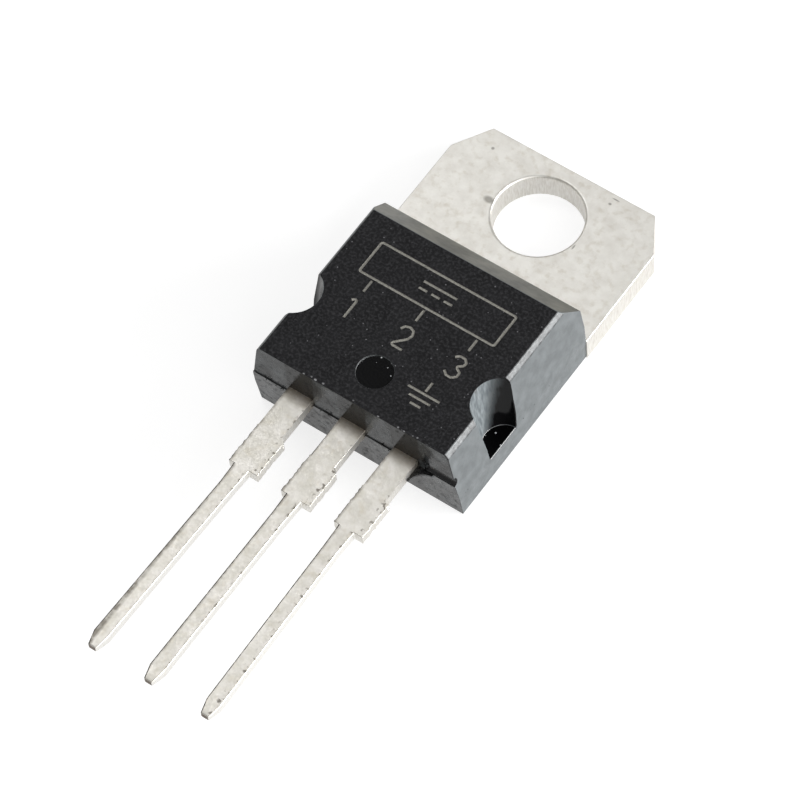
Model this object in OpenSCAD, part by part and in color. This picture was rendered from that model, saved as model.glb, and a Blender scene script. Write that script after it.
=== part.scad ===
// Fixed voltage regulator: a flat tab, a moulded body and three leads in a row.
// The part lies on its metal back. The back face is z = 0 and the marked face looks up.
// The origin is on the axis of the mounting hole, at the back face.
// The tab points to +Y, the leads point to -Y, and X runs across.

/* [Tab] */
// Width of the tab
tab_w = 10.04; // [9.94:0.02:10.6]
// Thickness of the tab and of the pad behind the body
tab_t = 1.27; // [1.1:0.01:1.4]
// From the hole's axis to the free end of the tab
hole_to_end = 2.6; // [2.4:0.05:3]
// From the hole's axis to the rear of the moulded body
hole_to_body = 3.92; // [3.5:0.02:4.4]
// Diameter of the mounting hole
hole_d = 3.84; // [3.4:0.02:4]
// Rounding that the punch leaves round the hole's upper rim
hole_rim = 0.08; // [0.02:0.01:0.15]
// Length of each corner cut along the end of the tab
corner_x = 1.02; // [0.4:0.02:1.6]
// Length of each corner cut along the side of the tab
corner_y = 1.65; // [0.6:0.05:2.2]

/* [Pad in the body] */
// Plastic beside the pad, from the side parting line in
side_wall = 0.78; // [0.6:0.02:1.2]
// Width of the plastic rim in front of the pad
pad_rim = 1.38; // [1.2:0.02:1.6]
// Overhang of the coined step along the sides of the pad
step_w = 0.25; // [0.1:0.05:0.5]
// Height of the coined step above the back face
step_h = 0.5; // [0.3:0.05:0.8]
// Width of the groove across the pad, just inside the body's rear
groove_w = 0.5; // [0.3:0.05:0.8]
// Depth of that groove
groove_depth = 0.22; // [0.1:0.02:0.4]

/* [Moulded body] */
// Length of the body at its front parting line
body_len = 9.02; // [8.6:0.02:9.6]
// Height of the body above the back face
body_h = 4.45; // [4.3:0.01:4.7]
// Step in from the tab's side to the body's side parting line
side_inset = 0.04; // [0:0.01:0.1]
// Rise of the side parting line, and the side notches' floor, above the tab
side_parting_rise = 0.15; // [0.05:0.01:0.4]
// Draft of the side below its parting line
foot_draft = 0.03; // [0:0.01:0.15]
// Draft of the steep side above its parting line
waist_draft = 0.05; // [0:0.01:0.15]
// Height of that steep side
waist_rise = 0.88; // [0.5:0.02:1.2]
// Lean of the side above it, in to the narrow bevel
side_lean = 0.3; // [0.2:0.01:0.5]
// Width of the narrow bevel along the top edges
edge_bevel_w = 0.16; // [0.05:0.01:0.3]
// Height of that bevel
edge_bevel_h = 0.24; // [0.1:0.02:0.4]
// Rise of the front parting line above the leads' underside
front_parting_rise = 0.16; // [0:0.02:0.3]
// Step between the two mould halves at the front parting line
front_step = 0.05; // [0.02:0.01:0.1]
// Lean of the front face above the parting line
front_lean_top = 0.04; // [0:0.02:0.3]
// Lean of the front face below the parting line
front_lean_foot = 0.3; // [0:0.02:0.5]
// Length of the bevel at the rear top edge
rear_bevel_l = 1.08; // [0.6:0.02:1.6]
// Height of the bevel at the rear top edge
rear_bevel_h = 1.13; // [0.6:0.02:1.5]

/* [Notches and marks of moulding] */
// From the side parting line out to the axis of a side notch
notch_out = 0.02; // [-0.2:0.02:0.2]
// From the body's front parting line to the notch axis
notch_back = 3.18; // [2.8:0.02:3.6]
// Radius of a side notch at the top face
notch_top_r = 1.2; // [0.8:0.02:1.3]
// Radius of a side notch at its floor
notch_floor_r = 0.9; // [0.6:0.02:1.1]
// Diameter of the ejector pin's mark on the top face
pin_mark_d = 1.55; // [1:0.05:2]
// Depth of that mark
pin_mark_depth = 0.06; // [0.02:0.01:0.1]
// From the body's front parting line to the middle of that mark
pin_mark_back = 1.72; // [1.2:0.02:2.4]
// Radius of the groove that the broken gate leaves in the front face
gate_r = 0.22; // [0.15:0.01:0.35]
// Height of that groove's lower edge above the front parting line
gate_rise = 0.02; // [0.02:0.01:0.2]
// Reach of the web of flash in the corner between the output lead and the front face
web_reach = 0.75; // [0.4:0.05:1.2]
// Radius of that web's hollow edge
web_edge_r = 0.66; // [0.3:0.02:0.8]
// Thickness of that web, down from the front parting line
web_t = 0.12; // [0.06:0.01:0.16]

/* [Leads] */
// Spacing of the leads
lead_pitch = 2.54; // [2.4:0.01:2.7]
// Thickness of the leads
lead_t = 0.5; // [0.4:0.02:0.6]
// Height of the leads' underside above the back face
lead_z = 2.34; // [2.2:0.02:2.45]
// Length of the leads outside the body
lead_len = 13.55; // [10:0.1:15]
// Width of the leads next to the body
root_w = 1.16; // [1:0.02:1.4]
// Length of that part, up to the sheared stubs
root_len = 2.02; // [1.5:0.02:2.5]
// Length of the sheared stubs of the tie bar
stub_len = 1.95; // [1:0.05:2.5]
// Stand-out of the stub on the +X side
stub_right = 0.2; // [0.05:0.01:0.3]
// Stand-out of the stub on the -X side
stub_left = 0.04; // [0:0.01:0.3]
// Width of the long thin part
shank_w = 0.66; // [0.5:0.02:0.9]
// Length of the taper behind the stubs
shoulder_len = 0.95; // [0.3:0.05:1.5]
// Length of the tapered tip
tip_len = 0.62; // [0.3:0.02:1.5]
// Width of the tip's end
tip_w = 0.38; // [0.2:0.02:0.48]
// Thickness of the tip's end
tip_t = 0.3; // [0.15:0.02:0.38]
// Outward lean of the outer leads at their tips
tip_splay = 0.16; // [0:0.02:0.4]

/* [Lead posts in the body] */
// Width of the bonding post of an outer lead
post_w = 2.1; // [1.6:0.05:2.3]
// Length of the bonding post
post_len = 1.2; // [0.8:0.05:1.3]
// Offset of the post from the lead's middle, away from the centre lead
post_shift = 0.14; // [0:0.02:0.2]
// Plastic between the body's front and the post
post_cover = 0.64; // [0.4:0.02:0.8]
// Diameter of the locking hole in the post
post_hole_d = 0.46; // [0.3:0.02:0.6]
// Width of the bent strip that joins the centre lead to the pad
riser_w = 1.5; // [1.2:0.05:1.9]
// Length of that strip's slope, seen from above
riser_run = 0.7; // [0.6:0.05:0.75]

/* [Chip and wires] */
// Width of the silicon die
die_w = 1.9; // [1.4:0.05:2.4]
// Length of the silicon die
die_l = 1.7; // [1.4:0.05:2]
// Thickness of the silicon die
die_t = 0.3; // [0.2:0.01:0.4]
// From the body's front parting line to the middle of the die
die_back = 3.75; // [3.4:0.05:5]
// Thickness of the solder under the die
solder_t = 0.06; // [0.04:0.01:0.1]
// Stand-out of the solder round the die
solder_rim = 0.1; // [0:0.01:0.2]
// Diameter of the bond wires
wire_d = 0.2; // [0.1:0.01:0.24]
// Rise of the long bond wires above a straight line
wire_rise = 0.62; // [0.4:0.02:0.8]
// Rise of the short ground wire above a straight line
ground_rise = 0.4; // [0.3:0.02:0.6]
// Width of the flattened foot of a bond wire
foot_across = 0.3; // [0.25:0.01:0.4]
// Length of the flattened foot of a bond wire
foot_along = 0.44; // [0.3:0.02:0.5]
// From the die's edge to the middle of a foot on the die
die_inset = 0.32; // [0.3:0.01:0.4]
// From the die's rear edge to the ground wire's foot on the pad
ground_reach = 0.75; // [0.6:0.05:1]

/* [Hidden] */
$fn = 48;

copper_tinned = "#d8d5cd";
silicon_grey = "#6b6f78";
solder_grey = "#a9abad";
wire_silver = "#d0d2d4";
mould_black = "#232325";

// Extra length of cutting shapes beyond the faces that they cut
cut = 1;

rear_y = -hole_to_body;
front_y = rear_y - body_len;
pad_front_y = front_y + pad_rim;
pad_half = tab_w / 2 - side_inset - side_wall;
parting_half = tab_w / 2 - side_inset;
waist_half = parting_half - waist_draft;
brow_half = waist_half - side_lean;
side_parting_z = tab_t + side_parting_rise;
lead_top_z = lead_z + lead_t;
front_parting_z = lead_z + front_parting_rise;
tip_y = front_y - lead_len;
stub_start_y = front_y - root_len;
stub_end_y = stub_start_y - stub_len;
shank_start_y = stub_end_y - shoulder_len;
tip_start_y = tip_y + tip_len;
riser_low_z = tab_t - lead_t;
riser_slope = atan((lead_z - riser_low_z) / riser_run);
// Shift of a bend between the two faces of the strip
riser_lap = lead_t * tan(riser_slope / 2);
riser_head_y = pad_front_y - riser_lap - riser_run;
post_front_y = front_y + post_cover;
post_rear_y = post_front_y + post_len;
notch_y = front_y + notch_back;
die_y = front_y + die_back;
die_z = tab_t + solder_t;
die_top_z = die_z + die_t;
wire_r = wire_d / 2;

// Slot of each lead: -1 input, 0 ground, 1 output
function lead_x(slot) = slot * lead_pitch;

// Outline of a lead outside the body, seen from above, from the +X side of its root to the -X side.
// Its thin part leans sideways by lean at the tip.
function lead_outline(slot, inner_y) =
    let (x = lead_x(slot), lean = slot * tip_splay)
    let (half_root = root_w / 2, half_shank = shank_w / 2, half_tip = tip_w / 2)
    let (bite = stub_len / 12)
    [
        [x + half_root, inner_y],
        [x + half_root, stub_start_y],
        [x + half_root + stub_right, stub_start_y - bite],
        [x + half_root + stub_right, stub_end_y],
        [x + half_shank + stub_left, stub_end_y],
        [x + half_shank, shank_start_y],
        [x + half_shank + lean, tip_start_y],
        [x + half_tip + lean, tip_y],
        [x - half_tip + lean, tip_y],
        [x - half_shank + lean, tip_start_y],
        [x - half_shank, shank_start_y],
        [x - half_shank - stub_left, stub_end_y],
        [x - half_root - stub_left, stub_end_y],
        [x - half_root - stub_left, stub_start_y],
        [x - half_root, stub_start_y],
        [x - half_root, inner_y]
    ];

// Side view of a lead, as [y, z] points, with its coined tip
function strip_profile(inner_y) =
    let (tip_drop = (lead_t - tip_t) / 2)
    [
        [inner_y, lead_z],
        [tip_start_y, lead_z],
        [tip_y, lead_z + tip_drop],
        [tip_y, lead_top_z - tip_drop],
        [tip_start_y, lead_top_z],
        [inner_y, lead_top_z]
    ];

// Extrudes a [y, z] outline across X, centred on x
module across(x, width) {
    translate([x - width / 2, 0, 0])
        rotate([90, 0, 90])
            linear_extrude(width) children();
}

// A lead from its tip to inner_y
module lead_strip(slot, inner_y) {
    reach = root_w + 2 * (stub_right + stub_left + tip_splay);
    intersection() {
        translate([0, 0, lead_z - cut])
            linear_extrude(lead_t + 2 * cut) polygon(lead_outline(slot, inner_y));
        across(lead_x(slot), 2 * reach) polygon(strip_profile(inner_y));
    }
}

// Bonding post of an outer lead, with a locking hole that the plastic fills
module post(slot) {
    middle = lead_x(slot) + slot * post_shift;
    hole_x = lead_x(slot) + slot * (post_shift + post_w / 2 - post_hole_d);
    difference() {
        translate([middle - post_w / 2, post_front_y, lead_z])
            cube([post_w, post_len, lead_t]);
        translate([hole_x, post_front_y + post_hole_d, lead_z - cut])
            cylinder(h = lead_t + 2 * cut, d = post_hole_d);
    }
}

module outer_lead(slot) {
    union() {
        lead_strip(slot, post_front_y + post_len / 2);
        post(slot);
    }
}

// Bent strip that rises from the pad's front edge to the centre lead
module riser() {
    across(0, riser_w)
        polygon([
            [pad_front_y, riser_low_z],
            [pad_front_y - riser_lap, riser_low_z],
            [riser_head_y, lead_z],
            [riser_head_y, lead_top_z],
            [riser_head_y + riser_lap, lead_top_z],
            [pad_front_y, tab_t]
        ]);
}

// Flat tab with its cut corners
module tab_plate() {
    half = tab_w / 2;
    linear_extrude(tab_t)
        polygon([
            [-half, rear_y],
            [half, rear_y],
            [half, hole_to_end - corner_y],
            [half - corner_x, hole_to_end],
            [-half + corner_x, hole_to_end],
            [-half, hole_to_end - corner_y]
        ]);
}

// Pad that carries the die, with a coined step along each side
module pad() {
    translate([0, rear_y, 0])
        rotate([90, 0, 0])
            linear_extrude(rear_y - pad_front_y)
                polygon([
                    [-pad_half + step_w, 0],
                    [pad_half - step_w, 0],
                    [pad_half - step_w, step_h],
                    [pad_half, step_h],
                    [pad_half, tab_t],
                    [-pad_half, tab_t],
                    [-pad_half, step_h],
                    [-pad_half + step_w, step_h]
                ]);
}

// Mounting hole, with the rounded rim on its upper side
module mounting_hole() {
    translate([0, 0, -cut])
        cylinder(h = tab_t + 2 * cut, d = hole_d);
    translate([0, 0, tab_t - hole_rim])
        cylinder(h = 2 * hole_rim, d1 = hole_d, d2 = hole_d + 4 * hole_rim);
}

// Groove across the pad that keeps moisture out, along the body's rear edge
module pad_groove() {
    across(0, 2 * (pad_half + cut))
        polygon([
            [rear_y - groove_w, tab_t],
            [rear_y - groove_w / 2, tab_t - groove_depth],
            [rear_y, tab_t],
            [rear_y, tab_t + cut],
            [rear_y - groove_w, tab_t + cut]
        ]);
}

// Tab and pad, the thick part of the stamped copper strip
module heatsink_tab() {
    color(copper_tinned)
        difference() {
            union() {
                tab_plate();
                pad();
            }
            mounting_hole();
            pad_groove();
        }
}

// Centre lead, the thin part of the same strip, bent up from the pad
module ground_lead() {
    color(copper_tinned)
        union() {
            riser();
            lead_strip(0, riser_head_y + riser_lap / 2);
        }
}

module input_lead() {
    color(copper_tinned) outer_lead(-1);
}

module output_lead() {
    color(copper_tinned) outer_lead(1);
}

module silicon_die() {
    color(silicon_grey)
        translate([-die_w / 2, die_y - die_l / 2, die_z])
            cube([die_w, die_l, die_t]);
}

module die_solder() {
    color(solder_grey)
        translate([-die_w / 2 - solder_rim, die_y - die_l / 2 - solder_rim, tab_t])
            cube([die_w + 2 * solder_rim, die_l + 2 * solder_rim, solder_t]);
}

// Flattened foot of a bond wire, standing on z and turned to heading
module wire_foot(at, heading) {
    translate(at)
        rotate([0, 0, heading])
            translate([-foot_along / 2, -foot_across / 2, 0])
                cube([foot_along, foot_across, wire_d]);
}

// Bond wire in one arc between two feet that stand at a and b
module bond_wire(a, b, rise) {
    heading = atan2(b[1] - a[1], b[0] - a[0]);
    run = norm([b[0] - a[0], b[1] - a[1]]);
    climb = b[2] - a[2];
    chord = norm([run, climb]);
    arc_r = (chord * chord / 4 + rise * rise) / (2 * rise);
    // Centre of the arc, measured from the first foot along the run and upwards
    sunk = arc_r - rise;
    centre_s = run / 2 + sunk * climb / chord;
    centre_z = climb / 2 - sunk * run / chord;
    angle_a = atan2(-centre_z, -centre_s);
    angle_b = atan2(climb - centre_z, run - centre_s);
    color(wire_silver)
        union() {
            wire_foot(a, heading);
            wire_foot(b, heading);
            translate([a[0], a[1], a[2] + wire_r])
                rotate([0, 0, heading])
                    translate([centre_s, 0, centre_z])
                        rotate([90, 0, 0])
                            rotate([0, 0, angle_b])
                                rotate_extrude(angle = angle_a - angle_b)
                                    translate([arc_r, 0]) circle(r = wire_r);
        }
}

// Place on the post of an outer lead, as shares of the post's width and length from its middle
function on_post(slot, share_x, share_y) = [
    lead_x(slot) + slot * (post_shift + share_x * post_w),
    post_front_y + (0.5 + share_y) * post_len,
    lead_top_z
];

// Place on the die's top, inset from the edges on the sides that side_x and side_y name
function on_die(side_x, side_y) = [
    side_x * (die_w / 2 - die_inset),
    die_y + side_y * (die_l / 2 - die_inset),
    die_top_z
];

module input_bond_wire() {
    bond_wire(on_die(-1, -1), on_post(-1, -0.12, 0.1), wire_rise);
}

module output_bond_wire() {
    bond_wire(on_die(0.6, -1), on_post(1, -0.26, -0.12), wire_rise);
}

module sense_bond_wire() {
    bond_wire(on_die(1, 0.2), on_post(1, 0.14, 0.16), wire_rise);
}

module ground_bond_wire() {
    foot_y = die_y + die_l / 2 + ground_reach;
    bond_wire(on_die(-0.6, 1), [on_die(-0.6, 1)[0], foot_y, tab_t], ground_rise);
}

// Section of the body across X, with both drafts and the narrow top bevels
module body_front_view() {
    side = [
        [parting_half - foot_draft, 0],
        [parting_half, side_parting_z],
        [waist_half, side_parting_z + waist_rise],
        [brow_half, body_h - edge_bevel_h],
        [brow_half - edge_bevel_w, body_h]
    ];
    last = len(side) - 1;
    polygon(concat(side, [for (i = [last:-1:0]) [-side[i][0], side[i][1]]]));
}

// Section of the body along Y, as [y, z] points
module body_side_view() {
    polygon([
        [front_y + front_lean_foot, 0],
        [front_y, front_parting_z],
        [front_y + front_step, front_parting_z],
        [front_y + front_step + front_lean_top, body_h],
        [rear_y - rear_bevel_l, body_h],
        [rear_y, body_h - rear_bevel_h],
        [rear_y, 0]
    ]);
}

// The body's outer form, where its two sections meet in mitred corners
module body_block() {
    intersection() {
        translate([0, rear_y + cut, 0])
            rotate([90, 0, 0])
                linear_extrude(body_len + 2 * cut) body_front_view();
        across(0, 2 * (parting_half + cut)) body_side_view();
    }
}

// Drafted half-round notch in one side, from the top face down to the side parting line
module side_notch(side) {
    notch_h = body_h - side_parting_z;
    draft = (notch_top_r - notch_floor_r) / notch_h;
    translate([side * (parting_half + notch_out), notch_y, side_parting_z])
        cylinder(h = notch_h + cut, r1 = notch_floor_r, r2 = notch_top_r + cut * draft);
}

module pin_mark() {
    translate([0, front_y + pin_mark_back, body_h - pin_mark_depth])
        cylinder(h = pin_mark_depth + cut, d = pin_mark_d);
}

// Groove that the broken gate leaves above the parting line, from over the web to the corner
module gate_scar() {
    groove_x = lead_x(1) + (root_w + web_reach) / 2;
    translate([groove_x, front_y, front_parting_z + gate_rise + gate_r])
        rotate([0, 90, 0])
            cylinder(h = parting_half, r = gate_r);
}

// Web of flash left between the output lead and the front face, torn to a hollow edge
module flash_web() {
    root_x = lead_x(1) + root_w / 2;
    hidden = front_lean_foot + front_step;
    translate([root_x, front_y, front_parting_z - web_t])
        linear_extrude(web_t)
            difference() {
                translate([0, -web_reach])
                    square([web_reach, web_reach + hidden]);
                translate([web_reach, -web_reach])
                    circle(r = web_edge_r);
            }
}

// Epoxy body, moulded round everything that it holds
module moulded_body() {
    color(mould_black)
        difference() {
            union() {
                body_block();
                flash_web();
            }
            side_notch(-1);
            side_notch(1);
            pin_mark();
            gate_scar();
            heatsink_tab();
            ground_lead();
            input_lead();
            output_lead();
            silicon_die();
            die_solder();
            input_bond_wire();
            output_bond_wire();
            sense_bond_wire();
            ground_bond_wire();
        }
}

heatsink_tab();
ground_lead();
input_lead();
output_lead();
silicon_die();
die_solder();
input_bond_wire();
output_bond_wire();
sense_bond_wire();
ground_bond_wire();
moulded_body();
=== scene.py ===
import math
import random

import bmesh
import bpy
from mathutils import Matrix, Vector
from mathutils.bvhtree import BVHTree


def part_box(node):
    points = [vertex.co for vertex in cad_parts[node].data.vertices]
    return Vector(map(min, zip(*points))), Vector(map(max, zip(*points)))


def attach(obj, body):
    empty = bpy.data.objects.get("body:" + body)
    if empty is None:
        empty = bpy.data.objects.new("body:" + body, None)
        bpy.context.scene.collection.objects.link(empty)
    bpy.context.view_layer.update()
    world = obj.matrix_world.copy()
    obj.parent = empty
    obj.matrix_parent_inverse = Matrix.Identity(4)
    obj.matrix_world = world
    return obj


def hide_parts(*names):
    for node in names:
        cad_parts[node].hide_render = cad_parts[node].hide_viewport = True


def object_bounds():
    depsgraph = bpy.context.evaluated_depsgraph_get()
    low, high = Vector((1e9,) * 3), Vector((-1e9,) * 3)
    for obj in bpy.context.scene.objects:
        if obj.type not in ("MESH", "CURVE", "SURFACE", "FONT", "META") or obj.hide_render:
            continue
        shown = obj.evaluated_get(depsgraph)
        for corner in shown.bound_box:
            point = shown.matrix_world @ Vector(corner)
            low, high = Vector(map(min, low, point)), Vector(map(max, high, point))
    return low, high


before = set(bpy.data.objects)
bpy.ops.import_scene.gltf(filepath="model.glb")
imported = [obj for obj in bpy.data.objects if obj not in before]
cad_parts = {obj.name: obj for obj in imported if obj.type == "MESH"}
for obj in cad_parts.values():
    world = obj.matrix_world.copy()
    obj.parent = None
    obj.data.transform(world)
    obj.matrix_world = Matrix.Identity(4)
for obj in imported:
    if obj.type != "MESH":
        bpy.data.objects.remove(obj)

# A three-lead voltage regulator, lying on its metal back on a white sweep.
# Sizes and places are in millimetres, in the part's own frame. Meshes are in metres.
MM = 0.001
cad_low, cad_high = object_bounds()

# Sizes that the looks share with the solids
TOP_Z = cad_high.z / MM
TAB_TOP_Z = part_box("heatsink_tab")[1].z / MM
BODY_REAR_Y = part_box("moulded_body")[1].y / MM
LEAD_PITCH = 2.54
HALF_ROOT = 0.58
HALF_SHANK = 0.33
LEAD_LOW_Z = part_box("input_lead")[0].z / MM
LEAD_TIP_Y = cad_low.y / MM
FRONT_PARTING_Y = BODY_REAR_Y - 9.02
FRONT_PARTING_Z = 2.5
FRONT_EDGE_Y = FRONT_PARTING_Y + 0.09
STUB_Y = (FRONT_PARTING_Y - 2.02 - 1.95, FRONT_PARTING_Y - 2.02)
SIDE_PARTING_X = 4.98
SIDE_PARTING_Z = 1.42
NOTCH_Y = FRONT_PARTING_Y + 3.18
PIN_MARK = (0.0, FRONT_PARTING_Y + 1.72)
PIN_MARK_R = 0.775

# The camera, fitted to the part's corners
CAMERA_PLACE = (62.0976, -82.1579, 157.1162)
CAMERA_RIGHT = (0.816410, 0.574484, -0.058680)
CAMERA_DOWN = (0.467700, -0.717397, -0.516332)
CAMERA_FORWARD = (-0.338721, 0.394094, -0.854376)
CAMERA_LENS = 205.697


def srgb(code):
    """An sRGB hex colour as the linear RGBA that the shaders take."""
    parts = [int(code[i:i + 2], 16) / 255 for i in (1, 3, 5)]
    return [p / 12.92 if p <= 0.04045 else ((p + 0.055) / 1.055) ** 2.4 for p in parts] + [1]


def add(tree, kind, inputs=None, **settings):
    """A node with its settings, and its inputs set to values or linked to sockets."""
    made = tree.nodes.new(kind)
    for name, value in settings.items():
        setattr(made, name, value)
    for name, value in (inputs or {}).items():
        if isinstance(value, bpy.types.NodeSocket):
            tree.links.new(value, made.inputs[name])
        else:
            made.inputs[name].default_value = value
    return made


# Materials


def new_material(name):
    """An empty material, its tree, its surface shader and the object's own millimetres."""
    material = bpy.data.materials.new(name)
    material.use_nodes = True
    tree = material.node_tree
    tree.nodes.clear()
    shader = add(tree, "ShaderNodeBsdfPrincipled")
    output = add(tree, "ShaderNodeOutputMaterial")
    tree.links.new(shader.outputs["BSDF"], output.inputs["Surface"])
    coords = add(tree, "ShaderNodeTexCoord")
    place = add(tree, "ShaderNodeVectorMath",
                {0: coords.outputs["Object"], "Scale": 1 / MM}, operation="SCALE")
    return material, tree, shader, place.outputs["Vector"]


def grain(tree, place, size, detail=2.0, roughness=0.5, stretch=None):
    """Noise from 0 to 1 whose features are about size millimetres wide."""
    if stretch:
        place = add(tree, "ShaderNodeVectorMath", {0: place, 1: stretch},
                    operation="MULTIPLY").outputs["Vector"]
    made = add(tree, "ShaderNodeTexNoise",
               {"Vector": place, "Scale": 1 / size, "Detail": detail, "Roughness": roughness})
    return made.outputs["Fac"]


def remap(tree, value, low, high, to_low=0.0, to_high=1.0):
    """The value spread from low..high to to_low..to_high, held at the ends."""
    made = add(tree, "ShaderNodeMapRange",
               {"Value": value, "From Min": low, "From Max": high,
                "To Min": to_low, "To Max": to_high})
    return made.outputs["Result"]


def blend(tree, share, first, second):
    """The mix of two colours by share."""
    made = add(tree, "ShaderNodeMix", {"Factor": share, "A": first, "B": second},
               data_type="RGBA")
    return made.outputs["Result"]


def times(tree, first, second):
    """The product of two values."""
    made = add(tree, "ShaderNodeMath", {0: first, 1: second}, operation="MULTIPLY")
    return made.outputs["Value"]


def pits(tree, place, spacing, radius, share):
    """Small round spots of radius millimetres in a share of the cells of a spacing grid."""
    cells = add(tree, "ShaderNodeTexVoronoi", {"Vector": place, "Scale": 1 / spacing})
    near = remap(tree, cells.outputs["Distance"], 0.6 * radius / spacing, radius / spacing, 1, 0)
    chosen = add(tree, "ShaderNodeSeparateColor", {"Color": cells.outputs["Color"]})
    keep = add(tree, "ShaderNodeMath", {0: chosen.outputs["Red"], 1: share},
               operation="LESS_THAN").outputs["Value"]
    return times(tree, near, keep)


def relief(tree, height, depth):
    """Bump whose full height is depth millimetres."""
    made = add(tree, "ShaderNodeBump", {"Height": height, "Distance": depth * MM})
    return made.outputs["Normal"]


def blots(tree, place, spots):
    """Soft-edged spots, each given as x, y and its two radii in millimetres."""
    total = None
    for x, y, across, along in spots:
        offset = add(tree, "ShaderNodeVectorMath", {0: place, 1: (x, y, 0)}, operation="SUBTRACT")
        flat = add(tree, "ShaderNodeVectorMath",
                   {0: offset.outputs["Vector"], 1: (1 / across, 1 / along, 0)},
                   operation="MULTIPLY")
        far = add(tree, "ShaderNodeVectorMath", {0: flat.outputs["Vector"]}, operation="LENGTH")
        spot = remap(tree, far.outputs["Value"], 0.5, 1, 1, 0)
        if total is None:
            total = spot
        else:
            total = add(tree, "ShaderNodeMath", {0: total, 1: spot},
                        operation="MAXIMUM").outputs["Value"]
    return total


def near_body(tree, place, reach):
    """Mask of the leads' last reach millimetres before the body."""
    split = add(tree, "ShaderNodeSeparateXYZ", {"Vector": place})
    from_body = remap(tree, split.outputs["Y"], FRONT_PARTING_Y - reach, FRONT_PARTING_Y)
    on_lead = remap(tree, split.outputs["Z"], LEAD_LOW_Z - 0.1, LEAD_LOW_Z - 0.05)
    return times(tree, from_body, on_lead)


def edge_shade_and_specks(tree, place):
    """Mask of painted shade along the left edge of each lead, broken up by grain, and of the dark
    specks along its right edge, where the plating is rubbed."""
    split = add(tree, "ShaderNodeSeparateXYZ", {"Vector": place})
    across = add(tree, "ShaderNodeMath",
                 {0: split.outputs["X"], 1: LEAD_PITCH / 2, 2: -LEAD_PITCH / 2},
                 operation="WRAP").outputs["Value"]
    half = remap(tree, split.outputs["Y"], STUB_Y[0] - 0.01, STUB_Y[0] + 0.01,
                 HALF_SHANK, HALF_ROOT + 0.02)
    from_left = add(tree, "ShaderNodeMath", {0: half, 1: across}, operation="ADD")
    from_right = add(tree, "ShaderNodeMath", {0: half, 1: across}, operation="SUBTRACT")
    # painted shade along each lead's left edge
    painted_edge_shade = times(tree, remap(tree, from_left.outputs["Value"], 0.02, 0.14, 0.9, 0),
                  remap(tree, grain(tree, place, 0.3, 3), 0.35, 0.6, 0.4, 1))
    specks = times(tree, remap(tree, from_right.outputs["Value"], 0.04, 0.14, 0.9, 0),
                   remap(tree, grain(tree, place, 0.2, 3), 0.56, 0.64))
    return add(tree, "ShaderNodeMath", {0: painted_edge_shade, 1: specks}, operation="MAXIMUM").outputs["Value"]


def tin_plate(name, light, dark, rough_low, rough_high, spots):
    """Matt electroplated tin on stamped copper: a pale, warm, faintly mottled grey with small
    dark pits, browned where the hot mould gripped it. The plating's grain is a few thousandths
    of a millimetre and is drawn far coarser, or it wouldn't show."""
    material, tree, shader, place = new_material(name)
    mottle = grain(tree, place, 0.5, 4)
    fine = grain(tree, place, 0.09, 3)
    colour = blend(tree, remap(tree, mottle, 0.35, 0.7), srgb(light), srgb(dark))
    colour = blend(tree, remap(tree, grain(tree, place, 0.3, 3), 0.52, 0.8, 0, 0.45),
                   colour, srgb("#bfb6a4"))
    browned = times(tree, near_body(tree, place, 0.55), remap(tree, fine, 0.2, 0.7, 0.3, 0.6))
    colour = blend(tree, browned, colour, srgb("#a58f74"))
    dust = pits(tree, place, 0.7, 0.045, 0.08)
    colour = blend(tree, times(tree, dust, 0.6), colour, srgb("#6d675e"))
    if spots:
        colour = blend(tree, times(tree, blots(tree, place, spots), 0.6), colour, srgb("#6b665e"))
    else:
        # painted shade along each lead's left edge, with dark specks along its right
        colour = blend(tree, edge_shade_and_specks(tree, place), colour, srgb("#77726a"))
    tree.links.new(colour, shader.inputs["Base Color"])
    tree.links.new(remap(tree, fine, 0.3, 0.7, rough_low, rough_high), shader.inputs["Roughness"])
    tree.links.new(relief(tree, fine, 0.0025), shader.inputs["Normal"])
    shader.inputs["Metallic"].default_value = 1
    return material


def cut_tin(name, light, dark):
    """Punched edge of the strip: the burnished band and the torn band below it, drawn out along
    the punch's stroke, with a thin flash of tin over it."""
    material, tree, shader, place = new_material(name)
    streaks = grain(tree, place, 0.06, 3, stretch=(1, 1, 0.15))
    colour = blend(tree, remap(tree, streaks, 0.35, 0.75), srgb(light), srgb(dark))
    colour = blend(tree, times(tree, near_body(tree, place, 0.5), 0.35), colour, srgb("#a88f5e"))
    tree.links.new(colour, shader.inputs["Base Color"])
    tree.links.new(remap(tree, streaks, 0.3, 0.7, 0.36, 0.52), shader.inputs["Roughness"])
    tree.links.new(relief(tree, streaks, 0.002), shader.inputs["Normal"])
    shader.inputs["Metallic"].default_value = 1
    return material


def left_edge_shade():
    """Rounded left edge of each lead, in painted shade: dark grey-brown broken by patches of light
    tin."""
    material, tree, shader, place = new_material("left_edge_shade")
    breaks = grain(tree, place, 0.28, 4, 0.65)
    colour = blend(tree, remap(tree, breaks, 0.5, 0.66), srgb("#3d3831"), srgb("#b8b3a9"))
    tree.links.new(colour, shader.inputs["Base Color"])
    tree.links.new(relief(tree, breaks, 0.006), shader.inputs["Normal"])
    shader.inputs["Metallic"].default_value = 0.9
    shader.inputs["Roughness"].default_value = 0.5
    return material


def bare_end():
    """Lead tip, cut off after plating: bare copper alloy gone dull and grey-brown."""
    material, tree, shader, place = new_material("cut_copper_end")
    rough = grain(tree, place, 0.05, 3)
    colour = blend(tree, remap(tree, rough, 0.3, 0.7), srgb("#6d6259"), srgb("#8d8378"))
    tree.links.new(colour, shader.inputs["Base Color"])
    tree.links.new(relief(tree, rough, 0.01), shader.inputs["Normal"])
    shader.inputs["Metallic"].default_value = 0.8
    shader.inputs["Roughness"].default_value = 0.55
    return material


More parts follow.
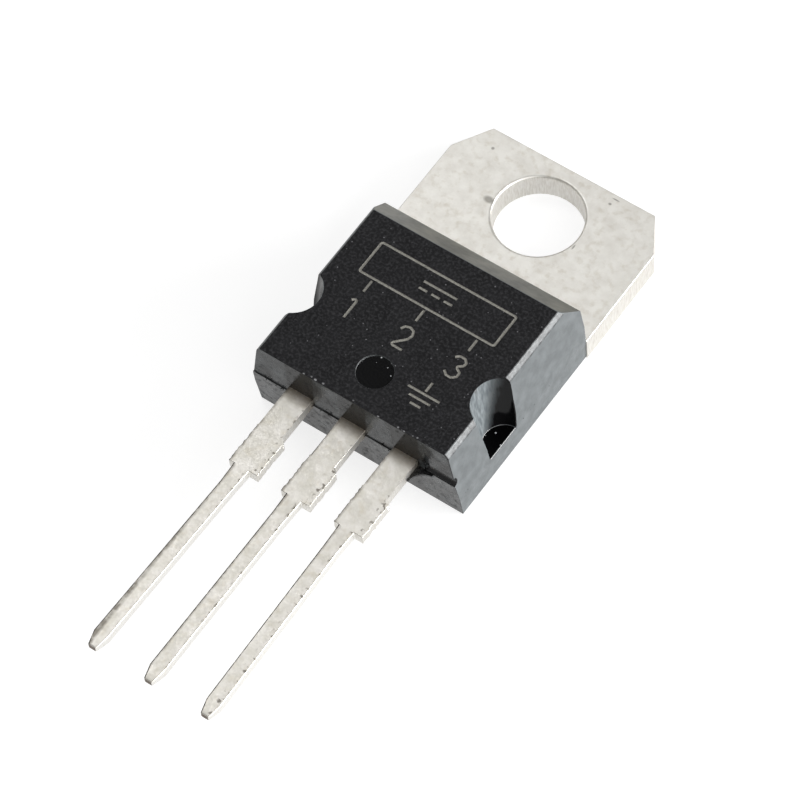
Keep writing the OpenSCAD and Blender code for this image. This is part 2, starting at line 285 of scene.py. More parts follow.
def eroded_epoxy():
    """Filled epoxy from a spark-eroded mould face: near-black and matt, with a fine even pitting,
    pale grains of silica filler that show as specks, and pale chips along the front edge. The
    pitting is drawn about three times as coarse as it is, or it wouldn't show."""
    material, tree, shader, place = new_material("eroded_epoxy")
    pitting = grain(tree, place, 0.12, 3, 0.6)
    cloud = grain(tree, place, 0.9, 3)
    colour = blend(tree, remap(tree, cloud, 0.35, 0.7), srgb("#0e0e10"), srgb("#19191b"))
    colour = blend(tree, remap(tree, pitting, 0.45, 0.75), colour, srgb("#363638"))
    filler = pits(tree, place, 0.24, 0.033, 0.25)
    colour = blend(tree, times(tree, filler, 0.8), colour, srgb("#77777a"))
    split = add(tree, "ShaderNodeSeparateXYZ", {"Vector": place})
    at_front = remap(tree, split.outputs["Y"], FRONT_EDGE_Y + 0.06, FRONT_EDGE_Y + 0.14, 1, 0)
    chips = times(tree, pits(tree, place, 0.18, 0.075, 0.45), at_front)
    colour = blend(tree, times(tree, chips, 0.9), colour, srgb("#98989a"))
    tree.links.new(colour, shader.inputs["Base Color"])
    tree.links.new(relief(tree, pitting, 0.016), shader.inputs["Normal"])
    shader.inputs["IOR"].default_value = 1.55
    shader.inputs["Specular IOR Level"].default_value = 0.15
    shader.inputs["Roughness"].default_value = 0.6
    return material


def lead_reflection_bands(tree, place):
    """Mask of the bands over the leads, where the front wall gets painted dark reflections of them.
    """
    split = add(tree, "ShaderNodeSeparateXYZ", {"Vector": place})
    from_lead = add(tree, "ShaderNodeMath", {0: split.outputs["X"], 1: LEAD_PITCH / 2},
                    operation="PINGPONG").outputs["Value"]
    from_middle = add(tree, "ShaderNodeMath", {0: split.outputs["X"]},
                      operation="ABSOLUTE").outputs["Value"]
    return times(tree, remap(tree, from_lead, 0.6, 0.7, 1, 0),
                 remap(tree, from_middle, 3.7, 3.8, 1, 0))


def wall_epoxy(name, colours, roughness, sheen, wave, patch=0.5, painted_reflections=False):
    """Filled epoxy from a polished mould wall: dark grey and smooth, so it mirrors the floor at
    a flat angle, with waves of that depth and scuffs in patches of that size. If asked, it
    paints the bands over the leads black: painted reflections of the leads."""
    material, tree, shader, place = new_material(name)
    cloud = grain(tree, place, patch, 3)
    colour = blend(tree, remap(tree, cloud, 0.35, 0.7), *map(srgb, colours))
    if painted_reflections:
        # painted reflection: the leads' dark mirror images, painted black on the wall over each
        # lead
        colour = blend(tree, lead_reflection_bands(tree, place), colour, srgb("#020202"))
    tree.links.new(colour, shader.inputs["Base Color"])
    scuff = grain(tree, place, 0.32 * patch, 4, 0.6)
    tree.links.new(remap(tree, scuff, 0.4, 0.75, *roughness), shader.inputs["Roughness"])
    tree.links.new(relief(tree, grain(tree, place, 0.4, 2), wave), shader.inputs["Normal"])
    shader.inputs["IOR"].default_value = 1.55
    shader.inputs["Specular IOR Level"].default_value = sheen
    return material


def notch_epoxy():
    """Filled epoxy of the notch's wall: matt and pale grey in front, the pale being painted light
    of the side lamp, and polished black behind."""
    material, tree, shader, place = new_material("notch_wall_epoxy")
    split = add(tree, "ShaderNodeSeparateXYZ", {"Vector": place})
    streaks = grain(tree, place, 0.12, 3, stretch=(1, 1, 0.2))
    wander = add(tree, "ShaderNodeMath", {0: split.outputs["Y"], 1: times(tree, streaks, 0.3)},
                 operation="ADD").outputs["Value"]
    wander = add(tree, "ShaderNodeMath",
                 {0: wander, 1: times(tree, split.outputs["Z"], -0.23)},
                 operation="ADD").outputs["Value"]
    # painted light: where the wall is painted pale for the side lamp, slanting with height; the
    # same share is matt
    painted_light_matt_share = remap(tree, wander, NOTCH_Y - 0.35, NOTCH_Y + 0.2, 1, 0)
    pale = blend(tree, remap(tree, streaks, 0.35, 0.65), srgb("#61676a"), srgb("#868c8e"))
    tree.links.new(blend(tree, painted_light_matt_share, srgb("#0d0d0e"), pale), shader.inputs["Base Color"])
    tree.links.new(remap(tree, painted_light_matt_share, 0, 1, 0.1, 0.6), shader.inputs["Roughness"])
    tree.links.new(relief(tree, streaks, 0.002), shader.inputs["Normal"])
    shader.inputs["IOR"].default_value = 1.55
    shader.inputs["Specular IOR Level"].default_value = 0.1
    return material


def torn_epoxy():
    """Filled epoxy where the gate and flash broke away: shiny black resin with a conchoidal,
    uneven surface."""
    material, tree, shader, place = new_material("torn_epoxy")
    lumps = grain(tree, place, 0.14, 3, 0.6)
    colour = blend(tree, remap(tree, lumps, 0.5, 0.8), srgb("#070708"), srgb("#1b1b1d"))
    tree.links.new(colour, shader.inputs["Base Color"])
    tree.links.new(remap(tree, lumps, 0.3, 0.7, 0.18, 0.4), shader.inputs["Roughness"])
    tree.links.new(relief(tree, lumps, 0.02), shader.inputs["Normal"])
    shader.inputs["IOR"].default_value = 1.55
    return material


def pin_epoxy():
    """Print of the polished ejector pin: smooth black resin with a few bright grains."""
    material, tree, shader, place = new_material("pin_epoxy")
    filler = pits(tree, place, 0.27, 0.045, 0.5)
    colour = blend(tree, filler, srgb("#050506"), srgb("#b9bbbd"))
    tree.links.new(colour, shader.inputs["Base Color"])
    tree.links.new(relief(tree, grain(tree, place, 0.1, 2), 0.002), shader.inputs["Normal"])
    shader.inputs["IOR"].default_value = 1.55
    shader.inputs["Specular IOR Level"].default_value = 0.05
    shader.inputs["Roughness"].default_value = 0.22
    return material


def laser_mark():
    """Floor of a laser-burnt line: foamed, light warm grey resin with no shine."""
    material, tree, shader, place = new_material("laser_mark")
    foam = grain(tree, place, 0.05, 2, 0.6)
    colour = blend(tree, remap(tree, foam, 0.3, 0.7), srgb("#6c6a65"), srgb("#9f9d95"))
    tree.links.new(colour, shader.inputs["Base Color"])
    tree.links.new(relief(tree, foam, 0.006), shader.inputs["Normal"])
    shader.inputs["Roughness"].default_value = 0.9
    return material


def ground_silicon():
    """Silicon chip: polished blue-grey face, with the parallel scratches of its thinning, drawn
    coarser than they are so that they show."""
    material, tree, shader, place = new_material("ground_silicon")
    scratches = grain(tree, place, 0.04, 2, stretch=(1, 0.06, 1))
    colour = blend(tree, scratches, srgb("#4a505c"), srgb("#757c88"))
    tree.links.new(colour, shader.inputs["Base Color"])
    tree.links.new(remap(tree, scratches, 0.3, 0.7, 0.12, 0.3), shader.inputs["Roughness"])
    tree.links.new(relief(tree, scratches, 0.001), shader.inputs["Normal"])
    shader.inputs["Metallic"].default_value = 0.7
    return material


def soft_solder():
    """High-lead solder: dull, frosted grey with a soft crystalline grain."""
    material, tree, shader, place = new_material("soft_solder")
    frost = grain(tree, place, 0.08, 3)
    colour = blend(tree, frost, srgb("#8f9193"), srgb("#b4b6b8"))
    tree.links.new(colour, shader.inputs["Base Color"])
    tree.links.new(relief(tree, frost, 0.003), shader.inputs["Normal"])
    shader.inputs["Metallic"].default_value = 1
    shader.inputs["Roughness"].default_value = 0.5
    return material


def drawn_aluminium():
    """Aluminium bond wire: bright and smooth, with fine die lines along it."""
    material, tree, shader, place = new_material("drawn_aluminium")
    lines = grain(tree, place, 0.03, 2, stretch=(1, 0.1, 1))
    colour = blend(tree, lines, srgb("#c2c4c6"), srgb("#dfe1e2"))
    tree.links.new(colour, shader.inputs["Base Color"])
    tree.links.new(remap(tree, lines, 0.3, 0.7, 0.2, 0.34), shader.inputs["Roughness"])
    shader.inputs["Metallic"].default_value = 1
    return material


# Dark spots of the tab's plate: x, y and the two radii of each
TAB_FLAWS = [(-3.45, 1.74, 0.09, 0.09), (2.13, 2.07, 0.09, 0.07), (2.23, 2.37, 0.22, 0.04),
             (2.05, -0.48, 0.05, 0.16), (-2.15, -0.44, 0.3, 0.2)]
TIN = tin_plate("matt_tin", "#d9d6d0", "#c8c5bc", 0.4, 0.5, [])
TAB_TIN = tin_plate("tab_tin", "#eceae4", "#e0ddd6", 0.42, 0.5, TAB_FLAWS)
TIN_CUT = cut_tin("cut_tin", "#edebe6", "#d8d4cc")
# Painted light: a lighter copy of the cut tin for the shanks' sides, which catch more light than
# the roots.
LIT_SHANK_CUT = cut_tin("shank_cut_tin_painted_light", "#faf9f6", "#e9e6df")
LEFT_EDGE_SHADE = left_edge_shade()
TIP_END = bare_end()
EPOXY_TOP = eroded_epoxy()
# The front wall has painted reflections: black bands over the leads, standing for their mirror
# images.
EPOXY_FRONT = wall_epoxy("front_wall_epoxy", ("#030304", "#5a5e60"), (0.07, 0.6), 0.42,
                         wave=0.0012, patch=0.8, painted_reflections=True)
# The side walls' grey is painted light and reflection: a lighter copy of the black epoxy, standing
# for the side lamp and the bright floor they mirror.
EPOXY_SIDE_LIT = wall_epoxy("side_wall_epoxy", ("#505557", "#64696b"), (0.42, 0.54), 0.9, wave=0.003)
# The rear bevel's warm grey is painted light: a lighter copy of the black epoxy, in random patches.
EPOXY_REAR_LIT = wall_epoxy("rear_bevel_epoxy", ("#3b3b35", "#5e5d54"), (0.4, 0.52), 0.9,
                        wave=0.003, patch=0.9)
# The narrow bevel's grey patches are painted light: the side lamp's highlight, broken up, on a
# lighter copy of the black epoxy.
EPOXY_BEVEL_LIT = wall_epoxy("narrow_bevel_epoxy", ("#1c1f20", "#616567"), (0.38, 0.54), 0.8,
                         wave=0.016, patch=0.2)
EPOXY_NOTCH = notch_epoxy()
EPOXY_RIM = wall_epoxy("notch_rim_epoxy", ("#2a2c2e", "#383b3d"), (0.1, 0.22), 1.0, wave=0.001)
EPOXY_TORN = torn_epoxy()
EPOXY_PIN = pin_epoxy()
LASER = laser_mark()


# Geometry Nodes trees


def new_tree(name, floats, numbers=()):
    """An empty geometry tree with these named inputs, and its inputs and outputs to link."""
    tree = bpy.data.node_groups.new(name, "GeometryNodeTree")
    tree.is_modifier = True
    tree.interface.new_socket("Geometry", in_out="INPUT", socket_type="NodeSocketGeometry")
    for label in floats:
        tree.interface.new_socket(label, in_out="INPUT", socket_type="NodeSocketFloat")
    for label in numbers:
        tree.interface.new_socket(label, in_out="INPUT", socket_type="NodeSocketInt")
    tree.interface.new_socket("Finish", in_out="INPUT", socket_type="NodeSocketMaterial")
    tree.interface.new_socket("Geometry", in_out="OUTPUT", socket_type="NodeSocketGeometry")
    return tree, add(tree, "NodeGroupInput").outputs, add(tree, "NodeGroupOutput").inputs


def finish_tree(tree, geometry, finish, out):
    """Ends a tree: instances made real, then the finish set."""
    real = add(tree, "GeometryNodeRealizeInstances", {"Geometry": geometry})
    dressed = add(tree, "GeometryNodeSetMaterial",
                  {"Geometry": real.outputs["Geometry"], "Material": finish})
    tree.links.new(dressed.outputs["Geometry"], out["Geometry"])


def freeze(thing):
    """Turns the object's evaluated modifiers into its plain mesh."""
    depsgraph = bpy.context.evaluated_depsgraph_get()
    mesh = bpy.data.meshes.new_from_object(thing.evaluated_get(depsgraph),
                                           preserve_all_data_layers=True, depsgraph=depsgraph)
    thing.modifiers.clear()
    old, thing.data = thing.data, mesh
    name = old.name
    bpy.data.meshes.remove(old)
    mesh.name = name


def run_tree(thing, tree, values):
    """Runs the tree on the object with its inputs set by name, and keeps the plain result."""
    modifier = thing.modifiers.new(tree.name, "NODES")
    modifier.node_group = tree
    for item in tree.interface.items_tree:
        if item.in_out == "INPUT" and item.name in values:
            modifier[item.identifier] = values[item.name]
    freeze(thing)


def new_object(name, form):
    """An object in the scene with the bmesh form as its mesh."""
    mesh = bpy.data.meshes.new(name)
    form.to_mesh(mesh)
    thing = bpy.data.objects.new(name, mesh)
    bpy.context.scene.collection.objects.link(thing)
    return thing


def line_object(name, lines):
    """An object of loose edges through the points of each line, in millimetres."""
    form = bmesh.new()
    for line in lines:
        corners = [form.verts.new(Vector(point) * MM) for point in line]
        for first, second in zip(corners, corners[1:]):
            form.edges.new((first, second))
    bmesh.ops.remove_doubles(form, verts=form.verts, dist=1e-6)
    thing = new_object(name, form)
    form.free()
    return thing


def stroke_tree():
    """Square-edged strokes along the lines: Width wide, Depth to each side of them."""
    tree, given, out = new_tree("laser_strokes", ["Width", "Depth", "Corner"])
    curve = add(tree, "GeometryNodeMeshToCurve", {"Mesh": given["Geometry"]})
    curve = add(tree, "GeometryNodeFilletCurve",
                {"Curve": curve.outputs["Curve"], "Radius": given["Corner"], "Count": 3,
                 "Limit Radius": True}, mode="POLY")
    level = add(tree, "GeometryNodeSetCurveNormal", {"Curve": curve.outputs["Curve"]},
                mode="Z_UP")
    depth = add(tree, "ShaderNodeMath", {0: given["Depth"], 1: 2.0}, operation="MULTIPLY")
    profile = add(tree, "GeometryNodeCurvePrimitiveQuadrilateral",
                  {"Width": given["Width"], "Height": depth.outputs["Value"]})
    solid = add(tree, "GeometryNodeCurveToMesh",
                {"Curve": level.outputs["Curve"], "Profile Curve": profile.outputs["Curve"],
                 "Fill Caps": True})
    finish_tree(tree, solid.outputs["Mesh"], given["Finish"], out)
    return tree


def crumb_tree():
    """Torn crumbs of flash, Size across, strewn along the lines every Spacing."""
    tree, given, out = new_tree("flash_crumbs", ["Spacing", "Size"], numbers=["Seed"])
    curve = add(tree, "GeometryNodeMeshToCurve", {"Mesh": given["Geometry"]})
    points = add(tree, "GeometryNodeResampleCurve",
                 {"Curve": curve.outputs["Curve"], "Length": given["Spacing"]}, mode="LENGTH")
    kept = add(tree, "FunctionNodeRandomValue",
               {"Probability": 0.45, "Seed": given["Seed"]}, data_type="BOOLEAN")
    crumb = add(tree, "GeometryNodeMeshIcoSphere", {"Radius": 0.5, "Subdivisions": 1})
    turn = add(tree, "FunctionNodeRandomValue",
               {"Min": (0, 0, 0), "Max": (6.2, 6.2, 6.2), "Seed": given["Seed"]},
               data_type="FLOAT_VECTOR")
    shape = add(tree, "FunctionNodeRandomValue",
                {"Min": (0.2, 0.2, 0.2), "Max": (1.3, 1.0, 0.8), "Seed": given["Seed"]},
                data_type="FLOAT_VECTOR")
    scale = add(tree, "ShaderNodeVectorMath",
                {0: shape.outputs["Value"], "Scale": given["Size"]}, operation="SCALE")
    drift = add(tree, "FunctionNodeRandomValue",
                {"Min": (-0.6, -0.6, -0.3), "Max": (0.6, 0.3, 0.3), "Seed": given["Seed"]},
                data_type="FLOAT_VECTOR")
    drift = add(tree, "ShaderNodeVectorMath",
                {0: drift.outputs["Value"], "Scale": given["Size"]}, operation="SCALE")
    loose = add(tree, "GeometryNodeSetPosition",
                {"Geometry": points.outputs["Curve"], "Offset": drift.outputs["Vector"]})
    strewn = add(tree, "GeometryNodeInstanceOnPoints",
                 {"Points": loose.outputs["Geometry"], "Selection": kept.outputs[3],
                  "Instance": crumb.outputs["Mesh"], "Rotation": turn.outputs["Value"],
                  "Scale": scale.outputs["Vector"]})
    finish_tree(tree, strewn.outputs["Instances"], given["Finish"], out)
    return tree


# Making a dressed piece from a CAD node's solid

# Points closer than WELD are one. Edges are rounded above the first angle and shaded hard above
# the second. A neighbour is looked for at PROBE off a face, along a ray that follows no edge.
WELD = 1e-7
WIDEST_ROUNDING = 0.1
ROUNDED_ABOVE = math.radians(24)
HARD_ABOVE = math.radians(35)
PROBE = 0.004 * MM
PROBE_RAY = Vector((0.3117, 0.5443, 0.7789)).normalized()
NODE_TREES = {
    name: BVHTree.FromPolygons([v.co for v in node.data.vertices],
                               [p.vertices for p in node.data.polygons])
    for name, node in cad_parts.items()
}


def inside(tree, point):
    """Whether point lies in the closed solid of tree, by the walls that a ray from it passes."""
    walls = 0
    place = tree.ray_cast(point, PROBE_RAY)[0]
    while place is not None:
        walls += 1
        place = tree.ray_cast(place + PROBE_RAY * WELD, PROBE_RAY)[0]
    return walls % 2 == 1


def meets_neighbour(face, own_node):
    """Whether another solid lies against the middle of this face."""
    point = face.calc_center_median() + face.normal * PROBE
    return any(inside(tree, point) for name, tree in NODE_TREES.items() if name != own_node)


def whole_form(node_name, halved_at):
    """The CAD node's surface as a welded bmesh with its flat faces whole, but for a seam at each
    y of halved_at, in millimetres, so that no face has a hole in it."""
    form = bmesh.new()
    form.from_mesh(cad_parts[node_name].data)
    bmesh.ops.remove_doubles(form, verts=form.verts, dist=WELD)
    for y in halved_at:
        everything = form.verts[:] + form.edges[:] + form.faces[:]
        halves = bmesh.ops.bisect_plane(form, geom=everything, dist=WELD,
                                        plane_co=(0, y * MM, 0), plane_no=(0, 1, 0))
        for element in halves["geom_cut"]:
            if isinstance(element, bmesh.types.BMEdge):
                element.seam = True
    bmesh.ops.dissolve_limit(form, angle_limit=math.radians(0.5), verts=form.verts,
                             edges=form.edges, delimit={"SEAM"})
    form.normal_update()
    return form


def worked(form, kind, **settings):
    """Puts the form through one modifier."""
    thing = new_object("worked", form)
    modifier = thing.modifiers.new(kind.lower(), kind)
    for name, value in settings.items():
        setattr(modifier, name, value)
    freeze(thing)
    form.clear()
    form.from_mesh(thing.data)
    bpy.data.objects.remove(thing)


def round_edges(form, node_name, radius_of):
    """Rounds each free sharp edge by what radius_of says for it, in millimetres."""
    buried = {f.index for f in form.faces if meets_neighbour(f, node_name)}
    share = form.edges.layers.float.new("bevel_weight_edge")
    for edge in form.edges:
        if len(edge.link_faces) != 2 or edge.calc_face_angle(0) < ROUNDED_ABOVE:
            continue
        if not any(f.index in buried for f in edge.link_faces):
            edge[share] = radius_of(edge) / WIDEST_ROUNDING
    worked(form, "BEVEL", width=WIDEST_ROUNDING * MM, segments=3, limit_method="WEIGHT",
           use_clamp_overlap=False)
    form.edges.layers.float.remove(form.edges.layers.float["bevel_weight_edge"])
    bmesh.ops.dissolve_degenerate(form, edges=form.edges, dist=WELD)
    form.normal_update()


def middle(edge):
    """The edge's middle, in millimetres."""
    return (edge.verts[0].co + edge.verts[1].co) / 2 / MM


def make_piece(name, form, materials, choose, node_name):
    """A finished piece from form, with a material per face and soft shading over its roundings,
    which stands for the CAD node. The weighting of the normals works in millimetres, because it
    fails on areas as small as the part's in metres."""
    piece = new_object(name, form)
    form.free()
    mesh = piece.data
    mesh.transform(Matrix.Scale(1 / MM, 4))
    for material in materials:
        mesh.materials.append(material)
    for face in mesh.polygons:
        face.material_index = materials.index(choose(face.center, face.normal))
    mesh.shade_smooth()
    mesh.set_sharp_from_angle(angle=HARD_ABOVE)
    weighted = piece.modifiers.new("flat_faces_stay_flat", "WEIGHTED_NORMAL")
    weighted.keep_sharp = True
    weighted.weight = 100
    weighted.thresh = 0.02
    freeze(piece)
    piece.data.transform(Matrix.Scale(MM, 4))
    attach(piece, "root")
    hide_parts(node_name)


# The moulded body

MARK_W = 0.11
MARK_DEPTH = 0.02
FIELD_HALF_X = 3.6
NOTCH_REACH = 1.25
GROOVE_X = 3.4
REAR_BEVEL_L = 1.2
NARROW_BEVEL_H = 0.3
SIDE_CRUMB_X = SIDE_PARTING_X - 0.035


def body_edge_radius(edge):
    """Sharp at the parting lines and the pin's print, a little softer elsewhere."""
    place = middle(edge)
    if place.z < FRONT_PARTING_Z + 0.05 and place.y < FRONT_PARTING_Y + 0.2:
        return 0.012
    if math.dist((place.x, place.y), PIN_MARK) < PIN_MARK_R + 0.05:
        return 0.02
    if abs(place.x) > 4.3 and place.z > TOP_Z - 0.5:
        return 0.06
    return 0.035


def flat_side(normal):
    """Whether a face with this normal belongs to the flat side walls or their narrow bevel."""
    return abs(normal.y) < 0.05 and abs(normal.x) > 0.5


def body_finish(place, normal):
    """The mould face that a face of the body was cast against."""
    on_field = (abs(place.x) < FIELD_HALF_X
                and FRONT_PARTING_Y + 0.3 < place.y < BODY_REAR_Y - REAR_BEVEL_L - 0.1)
    in_print = math.dist((place.x, place.y), PIN_MARK) < PIN_MARK_R + 0.02
    if on_field and not in_print and TOP_Z - 0.03 < place.z < TOP_Z - 0.002:
        return LASER
    if in_print and TOP_Z - 0.1 < place.z < TOP_Z - 0.005:
        return EPOXY_PIN if normal.z > 0.9 else EPOXY_BEVEL_LIT
    if normal.z > 0.93 and place.z > TOP_Z - 0.1:
        return EPOXY_TOP
    if normal.y > 0.5 and place.y > BODY_REAR_Y - REAR_BEVEL_L:
        return EPOXY_REAR_LIT
    leans_in = abs(normal.x) > 0.3 and abs(normal.y) < 0.05 and normal.z > 0.35
    if leans_in and place.z > TOP_Z - NARROW_BEVEL_H:
        return EPOXY_BEVEL_LIT
    if place.y < FRONT_PARTING_Y + 0.4 and not flat_side(normal):
        in_groove = place.x > GROOVE_X and place.z > FRONT_PARTING_Z and normal.y > -0.9
        return EPOXY_TORN if in_groove or abs(normal.z) > 0.7 else EPOXY_FRONT
    at_notch = abs(place.y - NOTCH_Y) < NOTCH_REACH and abs(place.x) > FIELD_HALF_X - 0.1
    if at_notch and abs(place.z - SIDE_PARTING_Z) < 0.1:
        if normal.z > 0.95:
            return EPOXY_PIN
        if normal.z > 0.2:
            return EPOXY_RIM
    if at_notch and place.z > SIDE_PARTING_Z and not flat_side(normal):
        return EPOXY_NOTCH
    return EPOXY_SIDE_LIT


def numeral(shape, x, y, height):
    """A numeral's line, one unit high, moved and scaled to its place."""
    return [(x + height * u, y + height * v) for u, v in shape]


# Plain marks in the laser's single line: a block with three terminals and the pin numbers
# over the leads, the sign for direct current in the block, and the sign for ground
ONE = [(-0.16, 0.3), (0.04, 0.5), (0.04, -0.5)]
TWO = [(-0.28, 0.26), (-0.2, 0.43), (0, 0.5), (0.2, 0.42), (0.28, 0.22), (0.2, 0), (-0.3, -0.5),
       (0.3, -0.5)]
THREE = [(-0.27, 0.35), (-0.12, 0.48), (0.1, 0.48), (0.25, 0.34), (0.23, 0.18), (-0.02, 0.02),
         (0.27, -0.14), (0.28, -0.34), (0.1, -0.49), (-0.12, -0.48), (-0.29, -0.34)]
MARK_LINES = [
    [(-3.25, -6.1), (3.25, -6.1), (3.25, -7.7), (-3.25, -7.7), (-3.25, -6.1)],
    [(-0.8, -6.7), (0.8, -6.7)],
    [(-0.8, -7.05), (-0.4, -7.05)], [(-0.2, -7.05), (0.2, -7.05)], [(0.4, -7.05), (0.8, -7.05)],
    [(2.2, -10.4), (2.2, -10.88)], [(1.45, -11.0), (2.95, -11.0)],
    [(1.7, -11.3), (2.7, -11.3)], [(1.95, -11.6), (2.45, -11.6)],
]
for slot, shape in ((-1, ONE), (0, TWO), (1, THREE)):
    MARK_LINES.append([(slot * LEAD_PITCH, -7.82), (slot * LEAD_PITCH, -8.42)])
    MARK_LINES.append(numeral(shape, slot * LEAD_PITCH, -9.3, 1.05))


def engrave(form):
    """Sinks the marks into the top face."""
    strokes = line_object("laser_cutter", [[(x, y, TOP_Z) for x, y in line] for line in MARK_LINES])
    run_tree(strokes, stroke_tree(),
             {"Width": MARK_W * MM, "Depth": MARK_DEPTH * MM, "Corner": 0.08 * MM,
              "Finish": LASER})
    worked(form, "BOOLEAN", object=strokes, operation="DIFFERENCE", solver="EXACT")
    bpy.data.objects.remove(strokes)


def round_notch_floors(form):
    """Rounds the outer edge of each notch's floor, which is worn more than the rest."""
    rims = [e for e in form.edges
            if (Vector((abs(middle(e).x), middle(e).y, middle(e).z))
                - Vector((SIDE_PARTING_X, NOTCH_Y, SIDE_PARTING_Z))).length < 0.02]
    bmesh.ops.bevel(form, geom=rims, offset=0.09 * MM, offset_type="OFFSET", segments=4,
                    profile=0.5, affect="EDGES")
    form.normal_update()


def make_body():
    """The body, its edges rounded, then marked."""
    form = whole_form("moulded_body", [PIN_MARK[1]])
    round_notch_floors(form)
    round_edges(form, "moulded_body", body_edge_radius)
    engrave(form)
    finishes = [EPOXY_TOP, EPOXY_SIDE_LIT, EPOXY_FRONT, EPOXY_REAR_LIT, EPOXY_BEVEL_LIT, EPOXY_NOTCH,
                EPOXY_RIM, EPOXY_TORN, EPOXY_PIN, LASER]
    make_piece("body_shell", form, finishes, body_finish, "moulded_body")


def make_crumbs():
    """Flash that clings along the parting lines, in front between the leads and on the sides,
    where it lies inside the wall's widest line."""
    spans = [(-4.85, -LEAD_PITCH - HALF_ROOT), (-LEAD_PITCH + HALF_ROOT, -HALF_ROOT),
             (HALF_ROOT, LEAD_PITCH - HALF_ROOT), (3.9, 4.85)]
    front = [[(first, FRONT_PARTING_Y, FRONT_PARTING_Z), (last, FRONT_PARTING_Y, FRONT_PARTING_Z)]
             for first, last in spans]
    sides = [[(x, first, SIDE_PARTING_Z), (x, last, SIDE_PARTING_Z)]
             for x in (-SIDE_CRUMB_X, SIDE_CRUMB_X)
             for first, last in ((FRONT_PARTING_Y + 0.2, NOTCH_Y - 0.95),
                                 (NOTCH_Y + 0.95, BODY_REAR_Y))]
    tree = crumb_tree()
    for name, lines, size in (("front_crumbs", front, 0.11), ("side_crumbs", sides, 0.055)):
        crumbs = line_object(name, lines)
        run_tree(crumbs, tree, {"Spacing": 0.9 * size * MM, "Size": size * MM, "Seed": 7,
                                "Finish": EPOXY_TORN})
        crumbs.data.shade_smooth()
        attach(crumbs, "root")


# The tab and the leads

TEAR = 0.035


def lead_finish(place, normal):
    """Rolled faces keep the matt plate, left-facing roundings are in painted shade, punched edges
    show streaks, painted lighter on the shanks as painted light, and tips are bare.
    """
    if place.y < LEAD_TIP_Y + 0.02 and normal.y < -0.9:
        return TIP_END
    # painted shade: the left-facing roundings take a dark material
    if normal.x < -0.2 and 0.2 < normal.z < 0.97:
        return LEFT_EDGE_SHADE
    if abs(normal.z) > 0.6:
        return TIN
    # the shanks' sides take the lighter copy: painted light
    return LIT_SHANK_CUT if place.y < STUB_Y[0] else TIN_CUT


def make_tab():
    """The tab, rounder along its upper edges, where the punch drew them down."""
    form = whole_form("heatsink_tab", [0.0])
    round_edges(form, "heatsink_tab",
                lambda edge: 0.05 if middle(edge).z > TAB_TOP_Z - 0.2 else 0.03)
    make_piece("tab_plate", form, [TAB_TIN, TIN_CUT],
               lambda place, normal: TAB_TIN if abs(normal.z) > 0.6 else TIN_CUT,
               "heatsink_tab")


def on_stub(place):
    """Whether a place is along the stubs of the tie bar."""
    return STUB_Y[0] - 0.02 < place.y < STUB_Y[1] + 0.02


def tear_stubs(form, seed):
    """Roughens the sides of the stubs, where the tie bar was sheared off, in and out by up to
    TEAR millimetres."""
    chance = random.Random(seed)
    long_edges = [e for e in form.edges if on_stub(middle(e)) and e.calc_length() > 1.2 * MM]
    cut = bmesh.ops.subdivide_edges(form, edges=long_edges, cuts=16, use_grid_fill=True)
    across = [v.co.x for v in form.verts]
    centre_x = (min(across) + max(across)) / 2
    shifts = {}
    for element in cut["geom_inner"]:
        if isinstance(element, bmesh.types.BMVert):
            station = (element.co.x > centre_x, round(element.co.y / MM, 3))
            if station not in shifts:
                shifts[station] = chance.uniform(-TEAR, 0.4 * TEAR)
            element.co.x += shifts[station] * MM * (1 if station[0] else -1)


def make_lead(node_name, piece_name, seed):
    """A lead with torn stubs, which stay sharper than the rest."""
    form = whole_form(node_name, [])
    tear_stubs(form, seed)
    round_edges(form, node_name, lambda edge: 0.03 if on_stub(middle(edge)) else 0.055)
    make_piece(piece_name, form, [TIN, TIN_CUT, LIT_SHANK_CUT, LEFT_EDGE_SHADE, TIP_END], lead_finish,
               node_name)


# Floor, light and camera


def make_floor():
    """White sweep: a flat disc whose rim rises round the view. It shows white to the camera and
    in reflections, and keeps the part's soft shadow."""
    steps = 96
    rim = [(0.0, 0.0), (1.5, 0.0), (1.62, 0.02), (1.7, 0.08), (1.72, 0.32)]
    form = bmesh.new()
    for first, second in zip(rim, rim[1:]):
        for i in range(steps):
            corners = []
            for radius, height, turn in ((*first, i), (*second, i), (*second, i + 1),
                                         (*first, i + 1)):
                angle = 2 * math.pi * turn / steps
                point = (radius * math.cos(angle), radius * math.sin(angle), height)
                corners.append(form.verts.new(point))
            form.faces.new(corners)
    bmesh.ops.remove_doubles(form, verts=form.verts, dist=1e-5)
    bmesh.ops.recalc_face_normals(form, faces=form.faces)
    floor = new_object("sweep", form)
    form.free()
    material = bpy.data.materials.new("white_sweep")
    material.use_nodes = True
    tree = material.node_tree
    tree.nodes.clear()
    path = add(tree, "ShaderNodeLightPath")
    mirrored = add(tree, "ShaderNodeMath", {0: path.outputs["Is Glossy Ray"],
                                            1: path.outputs["Is Transmission Ray"]},
                   operation="MAXIMUM").outputs["Value"]
    strength = add(tree, "ShaderNodeMath", {0: times(tree, path.outputs["Is Camera Ray"], 0.76),
                                            1: times(tree, mirrored, 0.55)},
                   operation="MAXIMUM").outputs["Value"]
    glow = add(tree, "ShaderNodeEmission", {"Color": srgb("#ffffff"), "Strength": strength})
    paint = add(tree, "ShaderNodeBsdfDiffuse", {"Color": srgb("#a6a6a6")})
    both = add(tree, "ShaderNodeAddShader", {0: glow.outputs[0], 1: paint.outputs[0]})
    output = add(tree, "ShaderNodeOutputMaterial")
    tree.links.new(both.outputs[0], output.inputs["Surface"])
    floor.data.materials.append(material)


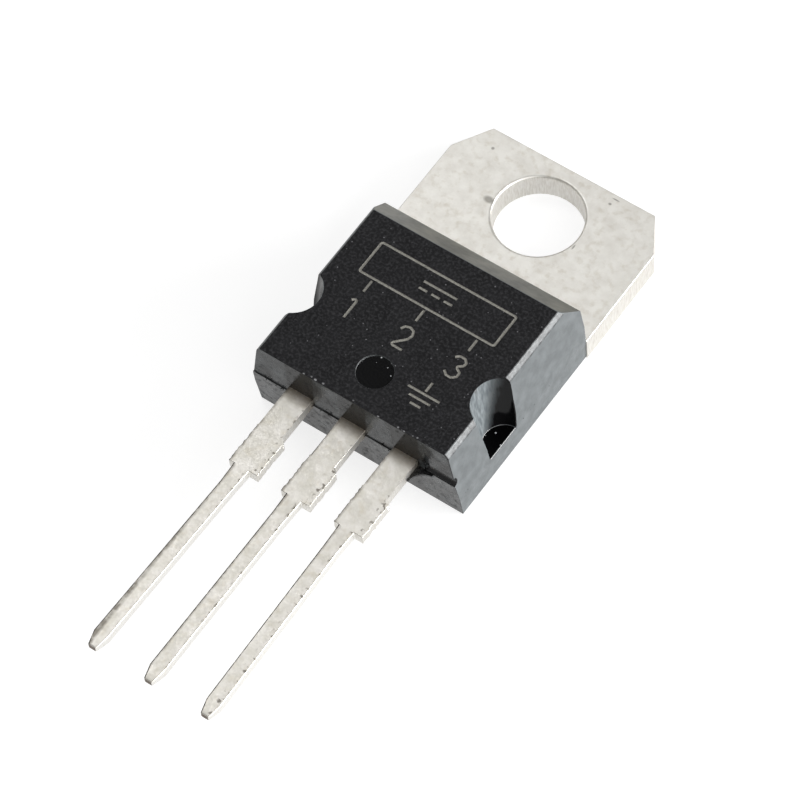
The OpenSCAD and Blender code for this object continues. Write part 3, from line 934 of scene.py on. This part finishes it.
def softbox(name, direction, distance, size, radiance):
    """A rectangular lamp at that direction and distance from the part, facing it."""
    middle_of_part = (cad_low + cad_high) / 2
    away = Vector(direction).normalized()
    data = bpy.data.lights.new(name, "AREA")
    data.shape = "RECTANGLE"
    data.size, data.size_y = size
    data.energy = radiance * math.pi * size[0] * size[1]
    lamp = bpy.data.objects.new(name, data)
    lamp.location = middle_of_part + away * distance
    lamp.rotation_euler = (-away).to_track_quat("-Z", "Y").to_euler()
    bpy.context.scene.collection.objects.link(lamp)


def make_camera():
    """The camera at its fitted place."""
    right, down, forward = map(Vector, (CAMERA_RIGHT, CAMERA_DOWN, CAMERA_FORWARD))
    data = bpy.data.cameras.new("camera")
    data.sensor_width = 36
    data.lens = CAMERA_LENS
    data.clip_start = 0.01
    data.clip_end = 10
    camera = bpy.data.objects.new("camera", data)
    turn = Matrix((right, -down, -forward)).transposed().to_4x4()
    camera.matrix_world = Matrix.Translation(Vector(CAMERA_PLACE) * MM) @ turn
    bpy.context.scene.collection.objects.link(camera)
    bpy.context.scene.camera = camera


make_camera()
make_body()
make_tab()
make_crumbs()
make_lead("input_lead", "lead_left", 3)
make_lead("ground_lead", "lead_middle", 5)
make_lead("output_lead", "lead_right", 8)

# The pieces inside keep their solids' surfaces
WIRES = ("input_bond_wire", "output_bond_wire", "sense_bond_wire", "ground_bond_wire")
inner_finish = {"silicon_die": ground_silicon(), "die_solder": soft_solder()}
inner_finish.update(dict.fromkeys(WIRES, drawn_aluminium()))
for name, finish in inner_finish.items():
    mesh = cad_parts[name].data
    mesh.materials.clear()
    mesh.materials.append(finish)

make_floor()
softbox("key_softbox", (-0.45, 0.2, 0.87), distance=0.6, size=(0.22, 0.22), radiance=4.2)
softbox("fill_softbox", (0.75, -0.35, 0.56), distance=0.6, size=(0.5, 0.5), radiance=1.5)
softbox("side_softbox", (0.9, 0.38, 0.2), distance=0.5, size=(0.4, 0.3), radiance=12.0)

scene = bpy.context.scene
world = bpy.data.worlds.new("room")
scene.world = world
world.use_nodes = True
world.node_tree.nodes["Background"].inputs["Color"].default_value = srgb("#ffffff")
world.node_tree.nodes["Background"].inputs["Strength"].default_value = 0.35
scene.view_settings.view_transform = "Standard"
